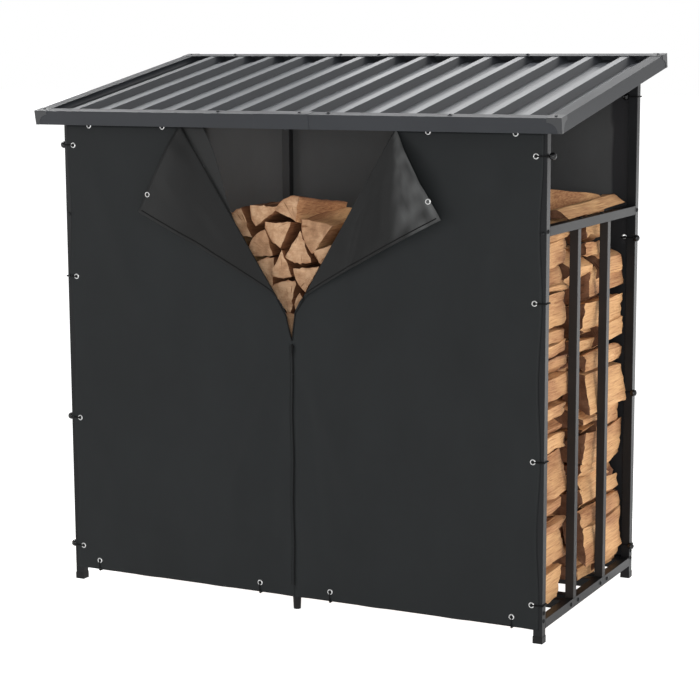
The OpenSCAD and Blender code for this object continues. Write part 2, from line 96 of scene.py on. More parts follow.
# Lower tip of the opened front, and folds of the cloth: height, both ends and width
VEE_Z = 0.948
OPENING_H = TARP_HI.z - VEE_Z
FRONT_FOLDS = (
    (0.007, (0.02, VEE_Z - 0.02), (0.28, 0.3), 0.035), (-0.006, (0.03, VEE_Z - 0.04), (0.12, 0.1), 0.03),
    (0.005, (0.86, 1.6), (0.55, 0.9), 0.05), (0.004, (0.87, 0.14), (0.5, 0.6), 0.05))
# Fold of the opened front on each side, as (height, distance from the middle)
FOLD_LINE = {-1: ((VEE_Z, 0.0), (1.041, 0.0245), (1.355, 0.226), (TARP_HI.z, 0.4385)),
             1: ((VEE_Z, 0.0), (1.051, 0.0137), (1.094, 0.0436), (1.416, 0.2385), (TARP_HI.z, 0.399))}
FOLD_R = 0.0045
FOLD_TIGHT = 0.15
# Facing behind the left fold, and its painted light from its free edge to the fold, against the fold's
# shadow
FACING_W = 0.09
FACING_LAP = 0.003
FACING_Y = FRONT_Y - 0.0006
FACING_START = 0.5
FACING_PAINTED_BASE = 0.08
FACING_FADE = 0.2
FACING_PAINTED_LIGHT = ((0.0, 0.2), (0.05, 0.08), (0.78, 0.08), (0.88, 0.26), (0.95, 0.42), (1.0, 0.5))
# Flaps: where their tips hang, how far they stand off, and where their free edges leave the fold
FLAP_TIP = {-1: (0.6, 1.379), 1: (0.574, 1.394)}
FLAP_LIFT = {-1: 0.018, 1: 0.028}
FLAP_START = 0.183
FLAP_SOFT = 0.025
FLAP_BOW = 0.008
FLAP_BELLY = 0.012
FLAP_COLUMNS = 46
FLAP_GROWTH = 1.7
# Creases of each flap, in shares towards its top corner and towards its tip: height, both ends, width
FLAP_CREASES = {
    -1: ((0.010, (0.9, 0.05), (0.3, 0.6), 0.06), (-0.008, (0.45, 0.2), (0.0, 0.7), 0.06)),
    1: ((0.012, (0.95, 0.05), (0.25, 0.72), 0.035), (-0.010, (0.8, 0.05), (0.12, 0.55), 0.04),
        (0.008, (0.62, 0.1), (0.02, 0.42), 0.03), (0.006, (0.5, 0.5), (0.05, 0.9), 0.03),
        (-0.005, (0.3, 0.6), (0.1, 0.88), 0.02))}

# Zip: the front's inner edges below and beside it, its chain closed and open, a seam and the slider
ZIP_STEP = 0.004
ZIP_END = 0.006
SLIT = (-0.0003, 0.0004)
CHAIN_X = 0.0008
CHAIN_R = 0.0011
CHAIN_OUT = 0.0004
OPEN_CHAIN_R = 0.0022
OPEN_CHAIN_IN = 0.012
OPEN_CHAIN_OUT = 0.0008
FLAP_W = 0.36
SEAM_X = 0.0105
SEAM_R = 0.0008
SLIDER_DROP = 0.012
SLIDER = ((0.0, 0.0042), (0.0035, 0.0042), (0.0052, 0.0034), (0.006, 0.0018), (0.006, 0.0))
PULL_L = 0.032
PULL_R = 0.0022

# Eyelets and ties
EYELET_R = 0.010
EYELET_BORE = 0.0061
EYELET_PROFILE = ((EYELET_BORE, 0.0), (EYELET_BORE, 0.0008), (EYELET_BORE + 0.0008, 0.0017),
                  (0.0075, 0.0019), (0.0092, 0.0013), (EYELET_R, 0.0))
POST_BAND = 0.045
TOP_BAND = 0.03
TOP_EYELET_RISE = 0.006
REAR_EYELET_IN = 0.014
FLAP_EYELET = (0.99, 0.79)
HOLE_ROOM = 0.0005
CORD_R = 0.0026
CORD_OUT = 0.0047
BALL_R = 0.0125
BALL = [(BALL_R * sin(a), BALL_R * cos(a)) for a in np.linspace(0, pi, 17)]

# Firewood that the photograph shows. Behind the opened front: pith, radius, the angles of the two split
# faces, and how far the log's far end is turned to the right and up, in degrees
SEEN_LOGS = (
    (-0.062, 1.407, 0.1265, 178, 216, 0, 0), (-0.006, 1.357, 0.0924, 82, 154, 10, -8),
    (-0.024, 1.357, 0.1045, 182, 247, 0, 0), (-0.098, 1.238, 0.099, 106, 186, 0, 0),
    (0.008, 1.333, 0.1188, 238, 291, 0, 0), (0.138, 1.351, 0.1287, 172, 230, 2, 6),
    (0.16, 1.296, 0.11, 198, 236, 0, 0), (-0.105, 1.116, 0.1188, 85, 125, 0, 0),
    (-0.06, 1.266, 0.1045, 243, 292, 0, 0), (0.086, 1.211, 0.11, 187, 240, 0, 0),
    (-0.033, 1.024, 0.132, 82, 130, 0, 0), (0.034, 1.076, 0.055, 130, 230, 0, 0),
    (-0.025, 0.926, 0.121, 60, 120, 0, 0), (-0.185, 1.296, 0.1155, 110, 175, 0, 0))
SEEN_GAP = 0.0015
OPENING_X = -0.02
OPENING_SLOPE = 0.62
OPENING_ROOM = 0.05
TURNED_MORE = 0.03
# Tones of the logs in the opening: those that lie straight back get painted shade on their sides
DEEP_TONE_AND_SHADE = (1.2, 1.6)
TURNED_TONE = (0.7, 1.0)
# On the right end of the stack: section, depths of both ends, and the same two turns
LOOSE_LOGS = (
    (((0.79, 1.38), (0.905, 1.38), (0.858, 1.414), (0.81, 1.409)), -0.19, 0.39, 0, 1.2),
    (((0.64, 1.385), (0.725, 1.38), (0.73, 1.43), (0.70, 1.468), (0.655, 1.45)), 0.03, 0.32, 23, -7))
LOOSE_TONE = (0.5, 1.0)
LOOSE_LOG_X = 0.6
# Logs at both ends of the rows, which are split once more
END_LOG_X = 0.8
END_LOG_Y = (0.05, 0.44)
END_LOG_TOP = 1.25
END_LOG_SHORT = 0.2
END_LOG_WILD = 2.2
END_LOG_BARE = 0.75
FRONT_END_MORE = 0.045
# Each log: room round it, spacing of its points, and the sizes of its unevenness
LOG_GAP = 0.0045
LOG_STEP = 0.014
LOG_STATIONS = 10
ARC_STEP = 9
GRAIN = 0.0011
SPLIT_ROUGH = 0.0006
BARK_ROUGH = 0.0008
FIBRE_WAVE = 0.0012
HUMP = 0.0022
MOST_ROUGH = 0.0025
LOG_BEND = 0.003
END_TILT = 0.07
END_ROUGH = 0.0025
END_RIM = 0.94
END_CROWN = 0.0008

# The photograph's camera, found from the store's straight edges
CAMERA_PLACE = (3.1446, -6.2569, 1.9727)
CAMERA_LENS = 99.826
CAMERA_YAW = radians(26.767)
CAMERA_PITCH = radians(9.062)
CAMERA_ROLL = radians(-0.268)
FLOOR_SIZE = 60.0
# Soft lights: place, target, size, power in watts, and spread in degrees where it is narrow
LIGHTS = {
    "right_softbox": ((9.6, -1.6, 4.1), (0.6, 0, 0.9), (6.0, 6.0), 200),
    "right_panel": ((2.0, 2.6, 0.7), (0.92, 0.0, 0.7), (2.0, 1.3), 14),
    "front_softbox": ((3.2, -6.9, 1.95), (-0.3, 0.4, 1.5), (2.4, 1.2), 190),
    "left_strip": ((-3.2, -3.3, 1.95), (-0.9, -0.5, 1.65), (1.0, 2.0), 34),
    "roof_softbox": ((-2.45, 7.64, 4.5), (0.3, 0, 1.85), (3.2, 2.2), 47),
    "roof_fill": ((-4.2, 1.5, 6.2), (0.1, 0.1, 1.85), (2.0, 2.0), 72, 40),
    "inner_fill": ((-0.15, -0.34, 1.63), (-0.15, 0.44, 1.62), (1.1, 0.06), 1.65)}


# Building meshes

def placed(name, data):
    """A new object in the scene."""
    obj = bpy.data.objects.new(name, data)
    bpy.context.scene.collection.objects.link(obj)
    return obj


def piece(name, points, faces, materials, slot, nodes=(), face_materials=None, smooth_angle=None):
    """A mesh piece that rides on the frame and takes the place of the given nodes."""
    mesh = bpy.data.meshes.new(name)
    mesh.from_pydata([tuple(p) for p in points], [], [tuple(f) for f in faces])
    for m in materials:
        mesh.materials.append(m)
    if face_materials is not None:
        mesh.polygons.foreach_set("material_index", np.asarray(face_materials, np.int32))
    mesh.polygons.foreach_set("use_smooth", np.ones(len(mesh.polygons), bool))
    if smooth_angle is not None:
        mesh.set_sharp_from_angle(angle=radians(smooth_angle))
    mesh.validate()
    mesh.update()
    obj = placed(name, mesh)
    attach(obj, "root")
    if nodes:
        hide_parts(*nodes)
    return obj


def attribute(obj, name, values, kind="FLOAT"):
    """Stores one value for each point of a mesh."""
    data = obj.data.attributes.new(name, kind, "POINT").data
    key = "vector" if kind == "FLOAT_VECTOR" else "value"
    data.foreach_set(key, np.asarray(values, np.float32).ravel())


def shifted(faces, start):
    """Faces with their point numbers raised by a start."""
    return [[i + start for i in face] for face in faces]


def joined(parts):
    """The points and the faces of several (points, faces) pairs."""
    points, faces, start = [], [], 0
    for p, f in parts:
        points.extend(p)
        faces += shifted(f, start)
        start += len(p)
    return points, faces


def quads(index):
    """Quads between the neighbours in a grid of point numbers."""
    corners = (index[:-1, :-1], index[:-1, 1:], index[1:, 1:], index[1:, :-1])
    return np.stack(corners, -1).reshape(-1, 4).tolist()


def grid_faces(rows, columns, closed=False):
    """Quads between the points of a grid that is stored row by row."""
    index = np.arange(rows * columns).reshape(rows, columns)
    return quads(np.c_[index, index[:, :1]] if closed else index)


def turned(profile, place, axis, count=24):
    """A profile of (radius, height) pairs turned about an axis at a place."""
    turn = Vector(axis).to_track_quat("Z", "Y").to_matrix()
    points = [Vector(place) + turn @ Vector((r * cos(a), r * sin(a), h))
              for r, h in profile for a in np.linspace(0, 2 * pi, count, endpoint=False)]
    return points, grid_faces(len(profile), count, closed=True)


def tube_along(line, radius, sides=10, closed=False):
    """A round tube along a line of points."""
    line = [Vector(p) for p in line]
    points = []
    for i, p in enumerate(line):
        before = line[i - 1] if i or closed else p
        after = line[(i + 1) % len(line)] if i < len(line) - 1 or closed else p
        turn = (after - before).to_track_quat("Z", "Y").to_matrix()
        points += [p + turn @ Vector((radius * cos(a), radius * sin(a), 0))
                   for a in np.linspace(0, 2 * pi, sides, endpoint=False)]
    faces = grid_faces(len(line), sides, closed=True)
    if closed:
        start = (len(line) - 1) * sides
        faces += [(start + c, start + (c + 1) % sides, (c + 1) % sides, c) for c in range(sides)]
    else:
        faces += [tuple(range(sides))[::-1], tuple(range(len(points) - sides, len(points)))]
    return points, faces


def islands(node):
    """The separate solids of a CAD node, each as an array of its corner points."""
    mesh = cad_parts[node].data
    corners = np.empty(len(mesh.vertices) * 3)
    mesh.vertices.foreach_get("co", corners)
    places, same = np.unique(corners.reshape(-1, 3).round(6), axis=0, return_inverse=True)
    ends = same.ravel()[np.array([edge.vertices[:] for edge in mesh.edges])]
    label = np.arange(len(places))
    while (label[ends[:, 0]] != label[ends[:, 1]]).any():
        lowest = label[ends].min(1)
        np.minimum.at(label, ends[:, 0], lowest)
        np.minimum.at(label, ends[:, 1], lowest)
    groups = [places[label == first] for first in np.unique(label)]
    return sorted(groups, key=lambda g: tuple(g.mean(0)))


# Shader trees

def plug(node, inputs):
    """Puts sockets or constant values on a node's inputs."""
    for key, value in inputs.items():
        if isinstance(value, bpy.types.NodeSocket):
            node.id_data.links.new(value, node.inputs[key])
        else:
            node.inputs[key].default_value = value


def source(tree, kind, **settings):
    """Adds a shader node to a tree."""
    node = tree.nodes.new("ShaderNode" + kind)
    for key, value in settings.items():
        setattr(node, key, value)
    return node


def put(kind, inputs, **settings):
    """Adds a shader node to the tree of the sockets among its inputs."""
    tree = next(v.id_data for v in inputs.values() if isinstance(v, bpy.types.NodeSocket))
    node = source(tree, kind, **settings)
    plug(node, inputs)
    return node


def material(name):
    """A new material with its tree and its surface shader."""
    mat = bpy.data.materials.new(name)
    mat.use_nodes = True
    return mat, mat.node_tree, mat.node_tree.nodes["Principled BSDF"]


def stretched(tree, scale=(1, 1, 1)):
    """Object coordinates scaled by three factors."""
    coords = source(tree, "TexCoord").outputs["Object"]
    return put("Mapping", {"Vector": coords, "Scale": scale}).outputs["Vector"]


def noise(vector, scale, detail=4.0, rough=0.5):
    """Cloudy values between 0 and 1."""
    inputs = {"Vector": vector, "Scale": scale, "Detail": detail, "Roughness": rough}
    return put("TexNoise", inputs).outputs["Fac"]


def value_of(tree, name, output="Fac"):
    """What a mesh's points store under a name."""
    return source(tree, "Attribute", attribute_name=name).outputs[output]


def ramp(value, *stops):
    """A colour ramp through (position, colour) stops."""
    node = put("ValToRGB", {"Fac": value})
    elements = node.color_ramp.elements
    while len(elements) < len(stops):
        elements.new(0.5)
    for element, (position, colour) in zip(elements, stops):
        element.position = position
        element.color = (*colour, 1.0)
    return node.outputs["Color"]


def mix(factor, a, b, blend="MIX"):
    """A blend of two colours, which may be sockets."""
    a, b = (c if isinstance(c, bpy.types.NodeSocket) else (*c, 1.0) for c in (a, b))
    return put("Mix", {0: factor, 6: a, 7: b}, data_type="RGBA", blend_type=blend).outputs[2]


def maths(operation, *values):
    """One sum on two values, which may be sockets."""
    return put("Math", dict(enumerate(values)), operation=operation).outputs[0]


def remap(value, source=(0.0, 1.0), target=(0.0, 1.0)):
    """A value brought from one range to another and kept within it."""
    limits = dict(zip(("From Min", "From Max", "To Min", "To Max"), (*source, *target)))
    return put("MapRange", {"Value": value, **limits}).outputs["Result"]


def bump(shader, height, distance, strength=1.0):
    """Fine relief on a shader's surface."""
    made = put("Bump", {"Height": height, "Distance": distance, "Strength": strength})
    plug(shader, {"Normal": made.outputs["Normal"]})


def shade(colour, factor):
    """A lighter or darker form of a colour."""
    return tuple(c * factor for c in colour)


# Materials

PALE_WOOD = ((0.26, (0.29, 0.12, 0.052)), (0.42, (0.57, 0.31, 0.142)), (0.7, (0.74, 0.45, 0.225)))
WARM_WOOD = ((0.28, (0.17, 0.065, 0.03)), (0.5, (0.36, 0.165, 0.08)), (0.75, (0.5, 0.27, 0.13)))
BARK = ((0.3, (0.06, 0.024, 0.012)), (0.52, (0.22, 0.095, 0.05)), (0.8, (0.4, 0.22, 0.125)))
BARK_RIM = (0.26, 0.125, 0.065)
END_WOOD = ((0.42, (0.17, 0.088, 0.046)), (0.7, (0.31, 0.178, 0.1)), (0.92, (0.45, 0.286, 0.172)))
CRACKS = ((0.3, (0.5, 0.42, 0.36)), (0.36, (1.0, 1.0, 1.0)))
# Painted shade on the sides of the logs deep in the opening
DEEP_PAINTED_SHADE = (0.42, 0.34, 0.3)
# Painted shade on the end grain at both ends of the rows
END_PAINTED_SHADE = (0.5, 0.42, 0.42)


def coated_steel(name, colour, rough, specular):
    """Powder-coated steel with a fine grain and slight changes of tone."""
    mat, tree, shader = material(name)
    wide = noise(stretched(tree), 3.0, 3.0)
    fine = noise(stretched(tree), 900.0, 2.0)
    tone = ramp(wide, (0.3, shade(colour, 0.88)), (0.7, shade(colour, 1.12)))
    plug(shader, {"Base Color": mix(0.08, tone, fine, "OVERLAY"),
                  "Roughness": remap(wide, target=(rough - 0.04, rough + 0.05)),
                  "Specular IOR Level": specular})
    bump(shader, fine, 0.0002, 0.25)
    return mat


def moulded_plastic(name, colour, rough, specular=0.35):
    """Moulded plastic with a fine spark-eroded grain."""
    mat, tree, shader = material(name)
    grain = noise(stretched(tree), 1400.0, 2.0)
    tone = ramp(grain, (0.3, shade(colour, 0.85)), (0.7, shade(colour, 1.15)))
    plug(shader, {"Base Color": tone, "Roughness": rough, "Specular IOR Level": specular})
    bump(shader, grain, 0.0001, 0.3)
    return mat


def tarpaulin(name, colour, rough, specular, mark=None, marked=None):
    """Coated cloth with a plain weave, scuffs, and a second colour where its mark value says so."""
    mat, tree, shader = material(name)
    coords = stretched(tree)
    threads = [put("TexWave", {"Vector": coords, "Scale": 150.0, "Distortion": 0.4, "Detail": 1.0},
                   bands_direction=axis).outputs["Fac"] for axis in ("X", "Z")]
    weave = maths("MULTIPLY", *threads)
    scuffs = noise(stretched(tree, (1.0, 1.0, 0.45)), 7.0, 6.0, 0.6)
    tone = ramp(scuffs, (0.3, shade(colour, 0.9)), (0.72, shade(colour, 1.12)))
    # The mark paints light on the front's inner face, and a darker band on the rear lining
    if mark:
        tone = mix(value_of(tree, mark), tone, marked)
    plug(shader, {"Base Color": mix(0.12, tone, weave, "OVERLAY"),
                  "Roughness": remap(scuffs, target=(rough - 0.06, rough + 0.08)),
                  "Specular IOR Level": specular})
    bump(shader, weave, 0.0003, 0.35)
    return mat


def plated_metal(name):
    """Nickel-plated brass, finely scratched."""
    mat, tree, shader = material(name)
    scratches = noise(stretched(tree), 1200.0, 3.0)
    tone = ramp(scratches, (0.3, (0.42, 0.42, 0.42)), (0.7, (0.62, 0.62, 0.61)))
    plug(shader, {"Base Color": tone, "Metallic": 0.85, "Roughness": 0.36})
    bump(shader, scratches, 0.00008, 0.2)
    return mat


def log_side():
    """Split faces and bark, told apart by each point's bark value, with painted shade deep in the opening.
    """
    mat, tree, shader = material("firewood_side")
    bark = value_of(tree, "bark")
    tone = value_of(tree, "tone")
    shift = put("CombineXYZ", {"X": tone, "Y": tone, "Z": tone}).outputs["Vector"]
    place = source(tree, "TexCoord").outputs["Object"]
    coords = put("VectorMath", {0: place, 1: shift}, operation="ADD").outputs[0]

    def grain(scale, size, detail, rough=0.5):
        scaled = put("Mapping", {"Vector": coords, "Scale": scale}).outputs["Vector"]
        return noise(scaled, size, detail, rough)

    fibres = grain((140.0, 5.0, 140.0), 1.6, 6.0, 0.6)
    patches = maths("ADD", grain((9.0, 3.0, 9.0), 1.0, 3.0), maths("MULTIPLY", tone, 0.3))
    heart = maths("MULTIPLY", remap(patches, (0.62, 0.82)), 0.8)
    split = mix(heart, ramp(fibres, *PALE_WOOD), ramp(fibres, *WARM_WOOD))
    crust = grain((60.0, 14.0, 60.0), 1.5, 8.0, 0.7)
    wood = mix(bark, split, ramp(crust, *BARK))
    # Painted shade on the sides of the logs that lie straight back in the opening
    painted_shade = remap(tone, (1.0, DEEP_TONE_AND_SHADE[0]))
    plug(shader, {"Base Color": mix(painted_shade, wood, DEEP_PAINTED_SHADE, "MULTIPLY"),
                  "Roughness": 0.85, "Specular IOR Level": 0.2})
    height = put("Mix", {0: bark, 2: fibres, 3: crust}, data_type="FLOAT").outputs[0]
    bump(shader, height, 0.004, 0.8)
    return mat


def log_end():
    """End grain with rings, cracks, saw marks and a rim of bark, with painted shade at both ends of the
    rows.
    """
    mat, tree, shader = material("firewood_end")
    tone = value_of(tree, "tone")
    pith = put("SeparateXYZ", {0: value_of(tree, "pith", "Vector")}).outputs
    flat = put("CombineXYZ", {"X": pith["X"], "Y": pith["Y"]}).outputs["Vector"]
    reach = put("VectorMath", {0: flat}, operation="LENGTH").outputs["Value"]
    coords = stretched(tree)
    wander = maths("MULTIPLY", noise(coords, 22.0, 3.0), 0.012)
    rings = maths("SINE", maths("MULTIPLY", maths("ADD", reach, wander), 1500.0))
    blotch = maths("ADD", noise(coords, 30.0, 5.0, 0.6), maths("MULTIPLY", tone, 0.2))
    mixed = maths("ADD", maths("MULTIPLY", rings, 0.05), blotch)
    saw = noise(stretched(tree, (30.0, 30.0, 420.0)), 1.0, 3.0)
    cut = mix(0.25, ramp(mixed, *END_WOOD), saw, "OVERLAY")
    angle = maths("MULTIPLY", maths("ARCTAN2", pith["Y"], pith["X"]), 9.0)
    ray = put("CombineXYZ", {"X": angle, "Y": maths("MULTIPLY", reach, 14.0),
                             "Z": maths("MULTIPLY", tone, 40.0)}).outputs["Vector"]
    cut = mix(1.0, cut, ramp(noise(ray, 1.0, 2.0), *CRACKS), "MULTIPLY")
    # Painted shade on the end grain of the logs at both ends of the rows
    beside = maths("ABSOLUTE", put("SeparateXYZ", {0: coords}).outputs["X"])
    end_shade = remap(beside, (END_LOG_X - 0.04, END_LOG_X - 0.02))
    cut = mix(end_shade, cut, END_PAINTED_SHADE, "MULTIPLY")
    rim = remap(maths("DIVIDE", reach, pith["Z"]), (0.95, 0.97))
    plug(shader, {"Base Color": mix(maths("MULTIPLY", rim, 0.7), cut, BARK_RIM),
                  "Roughness": 0.88, "Specular IOR Level": 0.15})
    bump(shader, maths("ADD", maths("MULTIPLY", rings, 0.25), saw), 0.0015, 0.6)
    return mat


FRAME_STEEL = coated_steel("frame_coat", (0.0085, 0.009, 0.0098), 0.38, 0.13)
# Painted light: a lighter copy of the frame coat, for the rear inner posts that little light reaches
INNER_POST_PAINTED_LIGHT = coated_steel("inner_post_coat_painted_light", (0.017, 0.0172, 0.0178), 0.42, 0.13)
# Painted light: a lighter, warmer copy of the frame coat, for the light the logs throw on the side bars
BAR_STEEL_PAINTED_LIGHT = coated_steel("bar_coat_painted_warm_light", (0.0175, 0.0158, 0.0152), 0.42, 0.115)
# Painted shade: a darker copy of the frame coat, for the upper rails
UPPER_RAIL_PAINTED_SHADE = coated_steel("upper_rail_coat_painted_shade", (0.0055, 0.0058, 0.0063), 0.42, 0.09)
TRIM_STEEL = coated_steel("trim_coat", (0.0205, 0.0222, 0.0255), 0.42, 0.2)
# Painted shade: a darker copy of the trim coat, for the rake trims
SIDE_TRIM_PAINTED_SHADE = coated_steel("side_trim_coat_painted_shade", (0.0165, 0.0179, 0.0206), 0.42, 0.14)
ROOF_STEEL = coated_steel("roof_coat", (0.035, 0.0378, 0.0432), 0.33, 0.45)
PLASTIC = moulded_plastic("black_plastic", (0.006, 0.006, 0.0062), 0.45, 0.15)
CAP_PLASTIC = moulded_plastic("cap_plastic", (0.026, 0.027, 0.029), 0.42)
BALL_PLASTIC = moulded_plastic("ball_plastic", (0.003, 0.003, 0.0033), 0.25)
RUBBER = moulded_plastic("elastic_cord", (0.004, 0.004, 0.004), 0.6, 0.1)
TARP_OUT = tarpaulin("tarp_outside", (0.011, 0.0124, 0.013), 0.56, 0.12)
# Inner face of the cloth; its second colour paints light on the flaps and on the facing
TARP_IN = tarpaulin("tarp_inside", (0.0099, 0.0101, 0.0101), 0.5, 0.12, "painted_light", (0.1, 0.102, 0.102))
# The rear cloth's inside: painted light makes it far lighter than the front's inner face, for light that
# barely gets in
LINING_PAINTED_LIGHT = tarpaulin("tarp_lining_painted_light", (0.05, 0.051, 0.0515), 0.6, 0.12, "hem", (0.018, 0.018, 0.0195))
METAL = plated_metal("eyelet_plating")
LOG_SIDE = log_side()
LOG_END = log_end()


# Steel and plastic: the frame's own nodes, each with its finish and a small round on its edges

TUBE_ROUND = 0.0025
SHEET_ROUND = 0.0005
PLASTIC_ROUND = 0.0006
FINISHES = (
    (FRAME_STEEL, TUBE_ROUND, (
        "front_left_post", "front_right_post", "rear_left_post", "rear_right_post", "front_bottom_rail",
        "rear_bottom_rail", "left_bottom_rail", "right_bottom_rail", "floor_rails", "front_top_rail",
        "rear_top_rail", "left_rafter", "right_rafter", "roof_purlin")),
    (BAR_STEEL_PAINTED_LIGHT, TUBE_ROUND, ("left_side_bars", "right_side_bars")),
    (INNER_POST_PAINTED_LIGHT, TUBE_ROUND, ("rear_inner_posts",)),
    (UPPER_RAIL_PAINTED_SHADE, TUBE_ROUND, ("left_upper_rail", "right_upper_rail")),
    (TRIM_STEEL, SHEET_ROUND, ("front_trim", "rear_trim", "trim_sleeves")),
    (SIDE_TRIM_PAINTED_SHADE, SHEET_ROUND, ("left_trim", "right_trim")),
    (ROOF_STEEL, 0.0, ("left_roof_sheet", "right_roof_sheet")),
    (PLASTIC, PLASTIC_ROUND, ("foot_cups", "centre_feet")),
    (CAP_PLASTIC, SHEET_ROUND, ("corner_caps",)))


def finish_nodes():
    """Gives the shown CAD nodes their materials and rounded edges."""
    for finish, edge_round, names in FINISHES:
        for node in (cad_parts[name] for name in names):
            node.data.materials.clear()
            node.data.materials.append(finish)
            if edge_round:
                weld = node.modifiers.new("weld", "WELD")
                weld.merge_threshold = 1e-5
                edge = node.modifiers.new("edge", "BEVEL")
                edge.width = edge_round
                edge.segments = 2
                edge.limit_method = "ANGLE"
                edge.angle_limit = radians(40)
                edge.harden_normals = True


# Bolts and screws

def frame_bolts():
    """Dome bolts on the posts, the side rails and the upper rails."""
    bolts = []
    for s in (-1, 1):
        side = Vector((s, 0, 0))
        out = s * POST_HI.x
        for bar in (-BAR_Y, BAR_Y):
            for step in (-BAR_BOLT_STEP, BAR_BOLT_STEP):
                bolts.append(((out, bar + step, (SIDE_RAIL_LO.z + SIDE_RAIL_HI.z) / 2), side))
        heights = [SIDE_RAIL_LO.z + rise for rise in POST_BOLT_RISE] + [UPPER_RAIL_LO.z + TUBE / 2]
        for y in (POST_LO.y + TUBE / 2, -POST_LO.y - TUBE / 2):
            bolts += [((out, y, z), side) for z in heights]
        for face in (-1, 1):
            place = (s * (POST_HI.x - FACE_BOLT_IN), -face * FRONT_Y, UPPER_RAIL_LO.z + FACE_BOLT_RISE)
            bolts.append((place, Vector((0, face, 0))))
        for y in (-BAR_Y + UPPER_BOLT_STEP, BAR_Y - UPPER_BOLT_STEP):
            bolts.append(((s * (POST_HI.x - TUBE / 2), y, UPPER_RAIL_HI.z), Vector((0, 0, 1))))
    heads = [turned(BOLT_HEAD, place, normal, HEAD_SIDES) for place, normal in bolts]
    piece("frame_bolts", *joined(heads), [FRAME_STEEL], "frame_steel", smooth_angle=50)


def roof_screws():
    """Washer-head screws on the trims and the corner caps, and one under the front sleeve."""
    up = Vector((0, -sin(ROOF_SLOPE), cos(ROOF_SLOPE)))
    front = TRIM_LO.y + FRONT_SCREW_IN
    back = -TRIM_LO.y - REAR_SCREW_IN
    places = [(x, front) for x in FRONT_SCREW_X]
    places += [(x, back) for x in REAR_SCREW_X]
    places += [(s * CAP_SCREW_X, y) for s in (-1, 1) for y in (front, back)]
    rise = tan(ROOF_SLOPE)
    heads = [turned(SCREW_HEAD, (x, y, TRIM_HI.z - (TRIM_HI.y - y) * rise), up, HEAD_SIDES)
             for x, y in places]
    heads += [turned(SCREW_HEAD, (SLEEVE_SCREW_X, front, TRIM_LO.z), (0, 0, -1), HEAD_SIDES)]
    piece("roof_screws", *joined(heads), [TRIM_STEEL], "trim_steel", smooth_angle=40)


# Tarpaulins

def smooth(t):
    """A soft step from 0 to 1."""
    t = np.clip(t, 0, 1)
    return t * t * (3 - 2 * t)


def ridge(x, z, p, q, width):
    """A soft fold along the line from p to q that fades out at both ends."""
    d = np.subtract(q, p)
    long = np.hypot(*d)
    along = ((x - p[0]) * d[0] + (z - p[1]) * d[1]) / long
    across = ((x - p[0]) * d[1] - (z - p[1]) * d[0]) / long
    fade = smooth(along / (0.3 * long)) * smooth((long - along) / (0.3 * long))
    return np.exp(-(across / width) ** 2) * fade


def ridges(x, z, rows):
    """Several folds together, each given by its height, both ends and width."""
    return sum(height * ridge(x, z, p, q, width) for height, p, q, width in rows)


def ripples(x, z, seed, length, count=7):
    """An uneven surface between about -1 and 1 with waves of about the given length."""
    rng = np.random.default_rng(seed)
    out = np.zeros(np.broadcast(x, z).shape)
    for _ in range(count):
        a, phase = rng.uniform(0, pi), rng.uniform(0, 2 * pi)
        k = 2 * pi / (length * rng.uniform(0.7, 1.6))
        out += np.sin(k * (x * cos(a) + z * sin(a)) + phase)
    return out / sqrt(count) / 1.6


def waves(x, z, rows, shift=0):
    """Several rippled surfaces together, with their seeds shifted."""
    return sum(height * ripples(x, z * stretch, seed + shift, length)
               for height, stretch, seed, length in rows)


def lines(*stops):
    """Grid lines through (position, step to the next) stops."""
    out = []
    for (a, step), (b, _) in zip(stops, stops[1:]):
        out += list(np.linspace(a, b, max(1, round(abs(b - a) / step)), endpoint=False))
    return np.array(out + [stops[-1][0]])


def beside_post(x):
    """Whether an eyelet at x lies beside a corner post."""
    return abs(x) > REAR_EDGE_X - POST_BAND


def eyelet_centres(node, inwards=0.0):
    """Centres of a node's eyelets, those beside the posts moved inwards."""
    centres = [(g.min(0) + g.max(0)) / 2 for g in islands(node)]
    for c in centres:
        if beside_post(c[0]):
            c[0] -= copysign(inwards, c[0])
    return centres


FRONT_EYELETS = eyelet_centres("front_eyelets")
REAR_EYELETS = eyelet_centres("rear_eyelets", REAR_EYELET_IN)


def side_heights(centres):
    """Heights of the eyelets beside the right post, from the hem up."""
    return sorted(c[2] for c in centres if c[0] > 0 and beside_post(c[0]))


def scalloped(z, heights, depth):
    """How far an edge is pulled in between the eyelets that hold it."""
    out = np.zeros_like(z)
    for a, b in zip(heights, heights[1:]):
        inside = (z > a) & (z < b)
        out[inside] = depth * np.sin(pi * (z[inside] - a) / (b - a)) ** 2
    return out


def free(x, z, edge, top):
    """How free a cloth is to stand out, from 0 along its held edges to 1 within."""
    return (smooth((edge - EDGE_HELD - abs(x)) / 0.12) * smooth((z - RAIL_HI.z) / 0.15)
            * smooth((top - z) / 0.1))


def front_drape(side, x, z):
    """How far the front cloth stands out at x, counted from the middle, and z."""
    height, width, length = SEAM_WAVE
    seam = height * np.exp(-(x / width) ** 2) * np.sin(2 * pi * z / length)
    uneven = waves(x, z, FRONT_WAVES, side) * smooth(x / 0.08)
    return (uneven + seam + ridges(x, z, FRONT_FOLDS)) * free(x, z, EDGE_X, TARP_HI.z) + CLOTH_CLEAR


def fold_share(z):
    """How far up the opening z is, from 0 at its tip to 1 at the top edge."""
    return np.clip((z - VEE_Z) / OPENING_H, 0, 1)


def fold_line(side, h):
    """Distance of the fold from the middle at the share h of the opening's height."""
    heights, out = zip(*FOLD_LINE[side])
    return np.interp(h, fold_share(np.array(heights)), out)


def flap_share(h):
    """How far the flap's free edge has left the fold, up to 1 at the top."""
    return np.logaddexp(0, (h - FLAP_START) / FLAP_SOFT) * FLAP_SOFT / (1 - FLAP_START)


